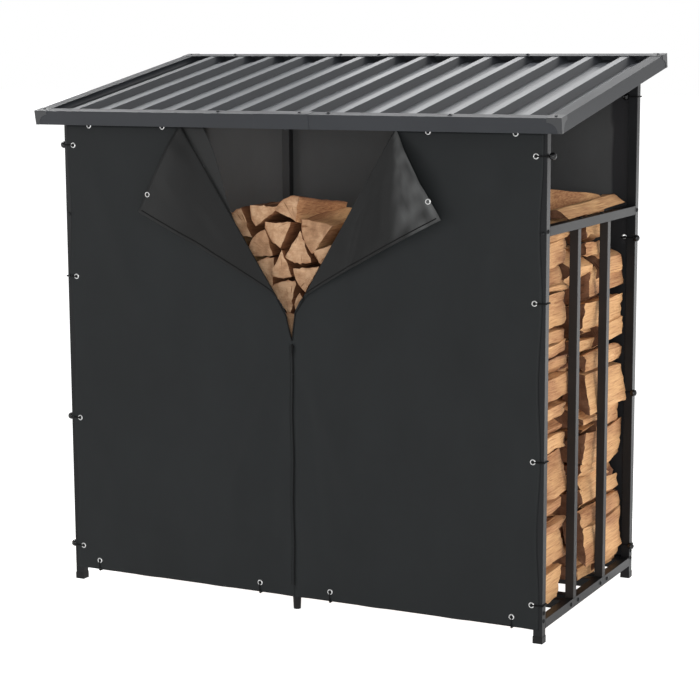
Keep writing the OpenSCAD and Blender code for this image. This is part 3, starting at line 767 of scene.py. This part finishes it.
def flap_points(side, h, f):
    """Points of a folded flap: h runs up the fold and f from the fold to the zip's edge."""
    tip = np.array([0.0, VEE_Z])
    top = np.array([FOLD_LINE[side][-1][1], TARP_HI.z])
    end = np.array(FLAP_TIP[side])
    fold = top - tip
    into = np.array([-fold[1], fold[0]]) / np.hypot(*fold)
    reach = abs(np.dot(np.array([0.0, TARP_HI.z]) - tip, into))
    radius = FOLD_R * np.clip(h / FOLD_TIGHT, 1e-3, 1.0)
    s = flap_share(h) * f * reach
    bend = np.clip(s / radius, 0, pi)
    c = np.clip(s - pi * radius, 0, None) / (reach - pi * radius)
    b = h - c
    flat = tip + b[..., None] * fold + c[..., None] * (end - tip)
    flat = flat + (radius * np.sin(bend))[..., None] * into
    edge = (end - tip) / np.hypot(*(end - tip))
    rise = np.array([-edge[1], edge[0]])
    flat = flat + (FLAP_BOW * 4 * h * (1 - h) * f ** 3)[..., None] * rise
    flat[..., 0] -= top[0] * h - fold_line(side, h)
    out = radius * (1 - np.cos(bend)) + FLAP_LIFT[side] * smooth(c * 1.15)
    out = out + ridges(b, c, FLAP_CREASES[side]) * smooth(c / 0.15)
    out = out + FLAP_BELLY * np.sin(pi * np.clip(c, 0, 1)) * b
    z = VEE_Z + h * OPENING_H
    base = front_drape(side, fold_line(side, h), z)
    return np.stack([side * flat[..., 0], FRONT_Y - CLOTH_T - base - out, flat[..., 1]], -1)


def panel_points(side, x, z):
    """Points of the hanging front cloth at x, counted from the middle, and z."""
    return np.stack([side * x, FRONT_Y - CLOTH_T - front_drape(side, x, z), z], -1)


def painted_flap_light(side, h, f):
    """Painted sheen and highlights on a flap: in streaks on the right one, along the left one's fold and
    edge.
    """
    c = flap_share(h) * f
    away = np.maximum(1 - h + c, 1e-3)
    fan = c / away
    if side < 0:
        return 0.05 * smooth((fan - 0.5) / 0.45) + 0.2 * np.exp(-(c / 0.02) ** 2) * smooth(h / 0.4)
    streaks = ripples(away * 0.3, fan, 51, 0.1) + 0.6 * ripples(away * 0.7, fan * 1.6, 52, 0.1)
    hem = smooth((fan - 0.955) / 0.02)
    lit = smooth((fan - 0.68) / 0.16) * smooth(away / 0.05)
    return lit * np.clip(0.33 + 0.24 * streaks + 0.2 * hem, 0, 1)


def thicken(cloth):
    """Gives a cloth its thickness, with the inner face's own material."""
    thick = cloth.modifiers.new("thickness", "SOLIDIFY")
    thick.thickness = CLOTH_T
    thick.offset = -1
    thick.material_offset = 1


def facing_strip(side, z):
    """Points, faces and painted light of the facing behind a fold, which widens upwards."""
    h = fold_share(z)
    fold = fold_line(side, h)
    outer = fold + FACING_LAP
    inner = fold - FACING_W * smooth((h - FACING_START) / (1 - FACING_START))
    share, tone = np.array(FACING_PAINTED_LIGHT).T
    x = inner[:, None] + (outer - inner)[:, None] * share
    points = np.stack([side * x, np.full_like(x, FACING_Y), z[:, None] + 0 * x], -1)
    painted_light = FACING_PAINTED_BASE + (tone - FACING_PAINTED_BASE) * smooth((1 - h[:, None]) / FACING_FADE)
    return points.reshape(-1, 3), grid_faces(len(z), x.shape[1]), painted_light.ravel()


def front_half(side):
    """Half of the front cloth, with its upper inner corner folded out, and the left half's facing."""
    z = lines((TARP_LO.z, 0.01), (LOW_ROWS, 0.016), (VEE_Z, 0.014), (TARP_HI.z, 0.014))
    u = lines((0.0, 0.02), (0.9, 0.012), (1.0, 0.012))
    inner = fold_line(side, fold_share(z)) + np.where(z < ZIP_FOOT, *SLIT)
    outer = EDGE_X - scalloped(z, side_heights(FRONT_EYELETS), SCALLOP)
    x = inner[:, None] + u[None, :] * (outer - inner)[:, None]
    hem = HEM_RISE * np.sin(x / EDGE_X * 3 * pi) ** 2 * smooth((0.2 - z[:, None]) / 0.15)
    panel = panel_points(side, x, z[:, None] + hem)
    rows = np.flatnonzero(z >= VEE_Z - 1e-6)
    f = np.linspace(0, 1, FLAP_COLUMNS)[None, 1:] ** FLAP_GROWTH
    h = fold_share(z[rows])[:, None] + 0 * f
    f = f + 0 * h
    flap = flap_points(side, h, f)
    points = np.concatenate([panel.reshape(-1, 3), flap.reshape(-1, 3)])
    columns = len(u)
    start = len(z) * columns
    flap_index = start + np.arange(h.size).reshape(h.shape)
    faces = grid_faces(len(z), columns) + quads(np.c_[rows * columns, flap_index][:, ::-1])
    # Painted light: a painted sheen and painted highlights on the flaps
    painted_light = np.concatenate([np.zeros(start), painted_flap_light(side, h, f).ravel()])
    kinds = [0] * len(faces)
    if side < 0:
        strip, strip_faces, strip_painted_light = facing_strip(side, z[rows])
        faces += shifted(strip_faces, len(points))
        kinds += [1] * len(strip_faces)
        points = np.concatenate([points, strip])
        painted_light = np.concatenate([painted_light, strip_painted_light])
        faces = [face[::-1] for face in faces]
    name = "front_right" if side > 0 else "front_left"
    cloth = piece(name + "_tarp_cloth", points, faces, [TARP_OUT, TARP_IN], "tarpaulin", [name + "_tarp"],
                  face_materials=kinds)
    attribute(cloth, "painted_light", painted_light)
    thicken(cloth)


def rear_drape(x, z):
    """How far the rear cloth stands out behind the frame."""
    bulge = REAR_SLACK * np.logaddexp(0, waves(x, z, REAR_WAVES) / REAR_SLACK)
    return bulge * free(x, z, REAR_EDGE_X, REAR_HI.z) + CLOTH_CLEAR


def around_holes(places, centres):
    """Grid lines with one just before and one just after each hole and none within it."""
    half = EYELET_BORE + HOLE_ROOM
    edges = sorted({round(c + s * half, 5) for c in centres for s in (-1, 1)})
    kept = [p for p in places if all(abs(p - c) > half + 0.001 for c in centres)]
    return np.array(sorted(kept + edges))


def rear_cloth():
    """The rear cloth, with holes for its eyelets and a darker band along the right of its lining."""
    band_x = REAR_EDGE_X - DARK_BAND_W
    half = lines((0.0, 0.022), (band_x, 0.0015), (band_x + DARK_BAND_STEP, 0.012), (REAR_EDGE_X, 0.012))
    across = around_holes(np.concatenate([-half[:0:-1], half]), [c[0] for c in REAR_EYELETS])
    z = lines((REAR_LO.z, 0.012), (LOW_ROWS, 0.022), (REAR_HI.z, 0.022))
    z = around_holes(z, [c[2] for c in REAR_EYELETS])
    pull = scalloped(z, side_heights(REAR_EYELETS), SCALLOP)
    x = across[None, :] * (1 - pull[:, None] / REAR_EDGE_X * smooth((abs(across[None, :]) - 0.6) / 0.3))
    zz = z[:, None] + 0 * x
    y = REAR_LO.y + CLOTH_T + rear_drape(x, zz)
    points = np.stack([x, y, zz], -1).reshape(-1, 3)
    holes = np.array(REAR_EYELETS)[:, [0, 2]]
    faces = []
    for face in grid_faces(len(z), len(across)):
        middle = points[list(face)][:, [0, 2]].mean(0)
        if np.abs(holes - middle).max(1).min() > EYELET_BORE / 2:
            faces.append(face[::-1])
    cloth = piece("rear_tarp_cloth", points, faces, [TARP_OUT, LINING_PAINTED_LIGHT], "tarpaulin", ["rear_tarp"])
    # The "hem" value marks the darker band along the right edge of the lining
    attribute(cloth, "hem", smooth((x - band_x) / DARK_BAND_STEP).ravel())
    thicken(cloth)


def zip_line():
    """The closed zip, the seam beside it, the open halves along the flaps' edges and the slider."""
    parts = []
    z = np.arange(ZIP_FOOT, VEE_Z - ZIP_END, ZIP_STEP)
    h = np.linspace(0.01, 0.985, 150)
    f = 1 - OPEN_CHAIN_IN / np.maximum(FLAP_W * flap_share(h), OPEN_CHAIN_IN + 0.001)
    for side in (-1, 1):
        closed = panel_points(side, np.full_like(z, CHAIN_X), z) - [0, CHAIN_OUT, 0]
        parts.append(tube_along(closed, CHAIN_R, 6))
        opened = flap_points(side, h, f) - [0, OPEN_CHAIN_OUT, 0]
        parts.append(tube_along(opened, OPEN_CHAIN_R, 6))
    parts.append(tube_along(panel_points(-1, np.full_like(z, SEAM_X), z), SEAM_R, 6))
    place = panel_points(1, np.array(0.0), np.array(VEE_Z - SLIDER_DROP))
    parts.append(turned(SLIDER, place, (0, -1, 0), 14))
    pull = [place + np.array([0.001, -0.0045 - 0.001 * sin(t), -PULL_L * t])
            for t in np.linspace(0, 1, 8)]
    parts.append(tube_along(pull, PULL_R, 8))
    piece("zip_chain", *joined(parts), [RUBBER], "black_plastic", ["zip"], smooth_angle=50)


# Eyelets and ties

def flap_eyelet(side):
    """Place and outward direction of the eyelet near a flap's tip."""
    h, f = FLAP_EYELET
    step = 0.01
    p, up, over = flap_points(side, np.array([h, h - step, h]), np.array([f, f, f - step]))
    normal = np.cross(up - p, over - p)
    normal /= np.linalg.norm(normal)
    return p, normal if normal[1] < 0 else -normal


def eyelets():
    """Pressed eyelets, seated on the cloth."""
    parts = []
    for c in FRONT_EYELETS:
        side = 1 if c[0] > 0 else -1
        if c[1] < FRONT_Y - 1.4 * CLOTH_T:
            place, normal = flap_eyelet(side)
        else:
            rise = TOP_EYELET_RISE if c[2] > TARP_HI.z - TOP_BAND else 0
            place, normal = panel_points(side, np.array(abs(c[0])), np.array(c[2] + rise)), (0, -1, 0)
        parts.append(turned(EYELET_PROFILE, place, normal))
    piece("front_eyelet_rings", *joined(parts), [METAL], "eyelet_metal", ["front_eyelets"], smooth_angle=60)
    parts = []
    for x, _, z in REAR_EYELETS:
        y = REAR_LO.y + CLOTH_T + float(rear_drape(np.array(x), np.array(z)))
        parts.append(turned(EYELET_PROFILE, (x, y, z), (0, 1, 0)))
        parts.append(turned(EYELET_PROFILE, (x, y - CLOTH_T, z), (0, -1, 0)))
    piece("rear_eyelet_rings", *joined(parts), [METAL], "eyelet_metal", ["rear_eyelets"], smooth_angle=60)


def rounded_loop(corners, radius=0.004, steps=4):
    """A closed line through the corners with each corner rounded."""
    corners = [Vector(c) for c in corners]
    out = []
    for i, c in enumerate(corners):
        a = c + (corners[i - 1] - c).normalized() * radius
        b = c + (corners[(i + 1) % len(corners)] - c).normalized() * radius
        out += [a.lerp(c, t).lerp(c.lerp(b, t), t) for t in np.linspace(0, 1, steps + 1)]
    return out


def ball_centre(group):
    """The middle of the ball that most of a tie's corner points lie on."""
    middle = np.median(group, axis=0)
    for _ in range(6):
        near = group[np.abs(np.linalg.norm(group - middle, axis=1) - BALL_R) < 0.004]
        fit = np.linalg.lstsq(np.c_[2 * near, np.ones(len(near))], (near ** 2).sum(1), rcond=None)[0]
        middle = fit[:3]
    return middle


def ties(name, node, face, centres):
    """Elastic loops round the posts and rails, each with its ball."""
    cords, balls = [], []
    inside = face * (abs(FRONT_Y) - TUBE - CORD_R)
    outside = face * (abs(FRONT_Y) + CORD_OUT)
    under = RAIL_LO.z - CORD_R
    for group in islands(node):
        ball = ball_centre(group)
        middle = group.mean(0)
        x, _, z = min(centres, key=lambda c: abs(c[2] - middle[2]) + abs(c[0] - middle[0]))
        if beside_post(x):
            out = copysign(POST_HI.x + CORD_R, x)
            loop = [(x, outside, z), (out, outside, z), (out, inside, z), (x, inside, z)]
        else:
            ball = (ball[0], inside - face * BALL_R, RAIL_LO.z)
            loop = [(x, outside, z), (x, outside, under), (x, inside, under), (x, inside, z)]
        balls.append(turned(BALL, ball, (0, 0, 1)))
        cords.append(tube_along(rounded_loop(loop), CORD_R, 8, closed=True))
    points, faces = joined(cords + balls)
    plain = sum(len(f) for _, f in cords)
    kinds = np.r_[np.zeros(plain, int), np.ones(len(faces) - plain, int)]
    piece(name, points, faces, [RUBBER, BALL_PLASTIC], "elastic_cord", [node], face_materials=kinds)


# Firewood

def sector(x, z, radius, start, stop):
    """The section of a split log: its pith and an arc of bark."""
    angles = np.radians(np.linspace(start, stop, max(4, round((stop - start) / ARC_STEP))))
    return np.vstack([[x, z], np.c_[x + radius * np.cos(angles), z + radius * np.sin(angles)]])


def section(group):
    """The outline of a straight CAD log, seen from the front."""
    ring = group[group[:, 1] < group[:, 1].min() + 1e-4][:, [0, 2]]
    middle = ring.mean(0)
    return ring[np.argsort(np.arctan2(ring[:, 1] - middle[1], ring[:, 0] - middle[0]))]


def straightened(group):
    """A log's corner points, turned to run straight back, and its turn in degrees."""
    middle = group.mean(0)
    axis = np.linalg.svd(group[:, :2] - middle[:2], full_matrices=False)[2][0]
    axis = axis * np.sign(axis[1])
    turn = np.array([[axis[1], axis[0]], [-axis[0], axis[1]]])
    out = group.copy()
    out[:, :2] = middle[:2] + (group[:, :2] - middle[:2]) @ turn
    yaw = atan2(axis[0], axis[1])
    out[:, 0] -= tan(yaw) * np.ptp(out[:, 1]) / 2
    return out, degrees(yaw)


def pith_of(ring):
    """The point that most corners of an outline are equally far from, and that distance."""
    edges = np.linalg.norm(np.roll(ring, -1, 0) - ring, axis=1)
    widest = int(edges.argmax())
    best = (-1, None, 0.0)
    for p in [*ring, (ring[widest] + ring[(widest + 1) % len(ring)]) / 2]:
        far = np.linalg.norm(ring - p, axis=1)
        count = int((far > far.max() - 0.0004).sum())
        if count > best[0]:
            best = (count, p, far.max())
    return best[1], best[2]


def walked(ring, pith, radius):
    """Points at even steps along an outline, and how far each has bark, as 0 or 1."""
    around, bark = [], []
    for a, b in zip(ring, np.roll(ring, -1, 0)):
        count = max(1, round(np.linalg.norm(b - a) / LOG_STEP))
        near = min(np.linalg.norm(a - pith), np.linalg.norm(b - pith))
        around += [a + (b - a) * t for t in np.arange(count) / count]
        bark += [float(near > radius - 0.0006)] * count
    return np.array(around), np.array(bark)


def unit(vectors):
    """Vectors with their lengths made 1."""
    return vectors / np.maximum(np.linalg.norm(vectors, axis=1), 1e-9)[:, None]


def outward(around):
    """The outward direction at each point of an outline."""
    tangent = unit(np.roll(around, -1, 0) - around) + unit(around - np.roll(around, 1, 0))
    return unit(np.c_[tangent[:, 1], -tangent[:, 0]])


class Stack:
    """Gathers the meshes of many logs into one piece."""

    def __init__(self):
        self.points, self.faces, self.kinds = [], [], []
        self.pith, self.bark, self.tone = [], [], []

    def add(self, ring, front, back, rng, yaw=0.0, pitch=0.0, bare=False, wild=1.0, gap=LOG_GAP,
            tone=(0.0, 1.0)):
        """One log from front to back, its far end turned right by yaw and up by pitch, in degrees. A
        bare log has no bark, and a wild one is less even."""
        pith, radius = pith_of(ring)
        around, bark = walked(ring, pith, radius)
        bark = bark * (not bare)
        middle = ring.mean(0)
        reach = np.linalg.norm(ring - middle, axis=1).mean()
        around = middle + (around - middle) * (1 - gap * wild ** 0.3 / reach)
        log = (pith, radius, front, tan(radians(yaw)), tan(radians(pitch)))
        count = len(around)
        normal = outward(around)
        turns = np.arange(count) * 2 * pi / count
        grain = rng.normal(0, GRAIN, count)
        bend = wild * rng.normal(0, LOG_BEND, 2)
        tilt = wild * rng.uniform(-END_TILT, END_TILT, (2, 2))
        phase = rng.uniform(0, 6.3, 3)
        start = len(self.points)
        for t in np.linspace(0, 1, LOG_STATIONS):
            rough = grain + rng.normal(0, SPLIT_ROUGH + BARK_ROUGH * bark, count)
            rough = rough + FIBRE_WAVE * np.sin(3 * t + 9 * grain / 0.001)
            rough = rough + wild * HUMP * np.sin(2 * turns + 5 * t + phase[0]) * np.sin(7 * t + phase[1])
            at = around + normal * np.minimum(rough, MOST_ROUGH)[:, None] + bend * (4 * t * (1 - t) - 0.5)
            lean = tilt[0] * (1 - t) + tilt[1] * t
            depth = front + (back - front) * t + ((around - middle) @ lean) * abs(2 * t - 1)
            if t in (0, 1):
                depth = depth + wild * rng.normal(0, END_ROUGH, count)
            self.ring(at, depth, around, bark, log)
        sides = grid_faces(LOG_STATIONS, count, closed=True)
        self.faces += shifted(sides, start)
        self.kinds += [0] * len(sides)
        inward = middle + (around - middle) * END_RIM
        shift = bend * -0.5
        for outer, depth, crown, lean in ((start, front, -END_CROWN, tilt[0]),
                                          (len(self.points) - count, back, END_CROWN, tilt[1])):
            depth = depth + crown + ((inward - middle) @ lean)
            inner = len(self.points)
            self.ring(inward + shift, depth, inward, bark * 0, log)
            self.ring(middle[None] + shift, np.array([depth.mean()]), middle[None], np.zeros(1), log)
            centre = len(self.points) - 1
            for c in range(count):
                d = (c + 1) % count
                quad = (outer + c, inner + c, inner + d, outer + d)
                fan = (inner + c, centre, inner + d)
                self.faces += [quad, fan] if crown < 0 else [quad[::-1], fan[::-1]]
                self.kinds += [1, 1]
        self.tone += [rng.uniform(*tone)] * (len(self.points) - len(self.tone))

    def ring(self, at, depth, flat, bark, log):
        """Points of one outline, moved sideways and up with their depth."""
        pith, radius, front, right, up = log
        far = depth - front
        self.points += list(np.c_[at[:, 0] + far * right, depth, at[:, 1] + far * up])
        self.pith += list(np.c_[flat - pith, np.full(len(flat), radius)])
        self.bark += list(bark)

    def build(self, name, node):
        """Makes the piece, which takes the place of a node."""
        obj = piece(name, self.points, self.faces, [LOG_SIDE, LOG_END], "firewood", [node],
                    face_materials=self.kinds, smooth_angle=34)
        attribute(obj, "pith", self.pith, "FLOAT_VECTOR")
        attribute(obj, "bark", self.bark)
        attribute(obj, "tone", self.tone)


def rolled(ring, angle):
    """An outline turned by an angle in degrees, and made smaller to fit its old room."""
    a = radians(angle)
    turn = np.array([[cos(a), sin(a)], [-sin(a), cos(a)]])
    middle = ring.mean(0)
    return middle + (ring - middle) @ turn * (1 - 0.5 * abs(a))


def halves(ring, angle):
    """The parts of an outline on both sides of a line through its middle, at an angle in degrees."""
    a = radians(angle)
    side = (ring - ring.mean(0)) @ np.array([-sin(a), cos(a)])
    parts = []
    for sign in (1, -1):
        part = []
        for p, q, s, t in zip(ring, np.roll(ring, -1, 0), side * sign, np.roll(side, -1) * sign):
            if s >= 0:
                part.append(p)
            if s * t < 0:
                part.append(p + (q - p) * s / (s - t))
        parts.append(np.array(part))
    return parts


def in_opening(ring):
    """Whether a log of the front row lies behind the opened part of the front."""
    x, z = ring.mean(0)
    return abs(x - OPENING_X) < (z - VEE_Z) * OPENING_SLOPE + OPENING_ROOM


def end_logs(stack, node, ring, front, back, rng):
    """A log at one end of a row, split in two."""
    x, z = ring.mean(0)
    if node == "front_log_row":
        back += FRONT_END_MORE
    for part in halves(ring, rng.uniform(-30, 30)):
        if node == "middle_log_row" and x > END_LOG_X:
            front = END_LOG_Y[0] + rng.normal(0, 0.016)
            back = END_LOG_Y[1] + rng.normal(0, 0.006) if z < END_LOG_TOP else front + END_LOG_SHORT
        part[:, 0] -= copysign(rng.uniform(0, 0.010), part[0, 0])
        stack.add(rolled(part, rng.normal(0, 6)), front + rng.uniform(0, 0.012),
                  back - rng.uniform(0, 0.015), rng, rng.normal(0, 1.0), rng.normal(0, 1.0),
                  bare=rng.uniform() < END_LOG_BARE, wild=END_LOG_WILD)


def row_logs(stack, node, rng):
    """The logs of one row, without those that the photograph shows in other places."""
    for group in islands(node):
        front, back = group[:, 1].min(), group[:, 1].max()
        ring = section(group)
        x = ring.mean(0)[0]
        if node == "front_log_row" and in_opening(ring) or node == "rear_log_row" and x > END_LOG_X:
            continue
        if abs(x) < END_LOG_X:
            ring = rolled(ring, rng.normal(0, 4))
            stack.add(ring, front, back, rng, rng.normal(0, 0.8), rng.normal(0, 0.6))
        else:
            end_logs(stack, node, ring, front, back, rng)


def seen_logs(stack, rng):
    """The logs behind the opened front."""
    lo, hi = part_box("front_log_row")
    for *log, yaw, pitch in SEEN_LOGS:
        front = lo.y + rng.uniform(0, 0.012)
        back = hi.y + TURNED_MORE * (yaw > 0)
        stack.add(sector(*log), front, back, rng, yaw, pitch, gap=SEEN_GAP,
                  tone=TURNED_TONE if yaw else DEEP_TONE_AND_SHADE)


def loose_logs(stack, rng):
    """The logs on top of the rows."""
    for group in islands("top_logs"):
        if group[:, 0].mean() < LOOSE_LOG_X:
            group, yaw = straightened(group)
            stack.add(section(group), group[:, 1].min(), group[:, 1].max(), rng, yaw)
    for outline, front, back, yaw, pitch in LOOSE_LOGS:
        stack.add(np.array(outline), front, back, rng, yaw, pitch, tone=LOOSE_TONE)


def firewood():
    """The three rows and the loose logs on them, one piece each."""
    for seed, node in enumerate(("front_log_row", "middle_log_row", "rear_log_row", "top_logs")):
        rng = np.random.default_rng(100 + seed)
        stack = Stack()
        if node == "top_logs":
            loose_logs(stack, rng)
        else:
            row_logs(stack, node, rng)
        if node == "front_log_row":
            seen_logs(stack, rng)
        stack.build(node + "_split", node)


# Camera, floor and light

def camera():
    """Sets up the photograph's camera."""
    data = bpy.data.cameras.new("camera")
    data.lens = CAMERA_LENS
    data.sensor_width = 36.0
    data.clip_end = 200
    obj = placed("camera", data)
    turn = Matrix.Rotation(CAMERA_YAW, 4, "Z") @ Matrix.Rotation(pi / 2 - CAMERA_PITCH, 4, "X")
    obj.matrix_world = Matrix.Translation(CAMERA_PLACE) @ turn @ Matrix.Rotation(CAMERA_ROLL, 4, "Z")
    bpy.context.scene.camera = obj


def floor():
    """A plain pale floor."""
    mat, tree, shader = material("studio_floor")
    grain = noise(stretched(tree), 2.0, 2.0)
    tone = ramp(grain, (0.3, (0.43, 0.43, 0.43)), (0.7, (0.47, 0.47, 0.47)))
    plug(shader, {"Base Color": tone, "Roughness": 0.9, "Specular IOR Level": 0.1,
                  "Emission Color": (1, 1, 1, 1), "Emission Strength": 0.97})
    mesh = bpy.data.meshes.new("floor")
    corners = [(x * FLOOR_SIZE, y * FLOOR_SIZE, 0) for x, y in ((-1, -1), (1, -1), (1, 1), (-1, 1))]
    mesh.from_pydata(corners, [], [(0, 1, 2, 3)])
    mesh.materials.append(mat)
    placed("floor", mesh)


def area_light(name, place, target, size, power, spread=180):
    """A soft light that the camera doesn't see."""
    data = bpy.data.lights.new(name, "AREA")
    data.shape = "RECTANGLE"
    data.size, data.size_y = size
    data.energy = power
    data.spread = radians(spread)
    obj = placed(name, data)
    obj.location = place
    obj.rotation_mode = "QUATERNION"
    obj.rotation_quaternion = (Vector(target) - Vector(place)).to_track_quat("-Z", "Y")
    obj.visible_camera = False


def studio():
    """Surroundings that are greyer overhead, and soft lights round the store."""
    scene = bpy.context.scene
    world = bpy.data.worlds.new("studio")
    world.use_nodes = True
    tree = world.node_tree
    height = put("SeparateXYZ", {0: source(tree, "TexCoord").outputs["Generated"]}).outputs["Z"]
    sky = ramp(height, (0.12, (1.0, 1.0, 1.0)), (0.5, (0.55, 0.55, 0.55)), (1.0, (0.4, 0.4, 0.4)))
    plug(tree.nodes["Background"], {"Color": sky})
    scene.world = world
    scene.view_settings.view_transform = "Standard"
    for name, settings in LIGHTS.items():
        area_light(name, *settings)


camera()
finish_nodes()
frame_bolts()
roof_screws()
front_half(-1)
front_half(1)
rear_cloth()
zip_line()
eyelets()
ties("front_ties", "front_ball_ties", -1, FRONT_EYELETS)
ties("rear_ties", "rear_ball_ties", 1, REAR_EYELETS)
firewood()
floor()
studio()
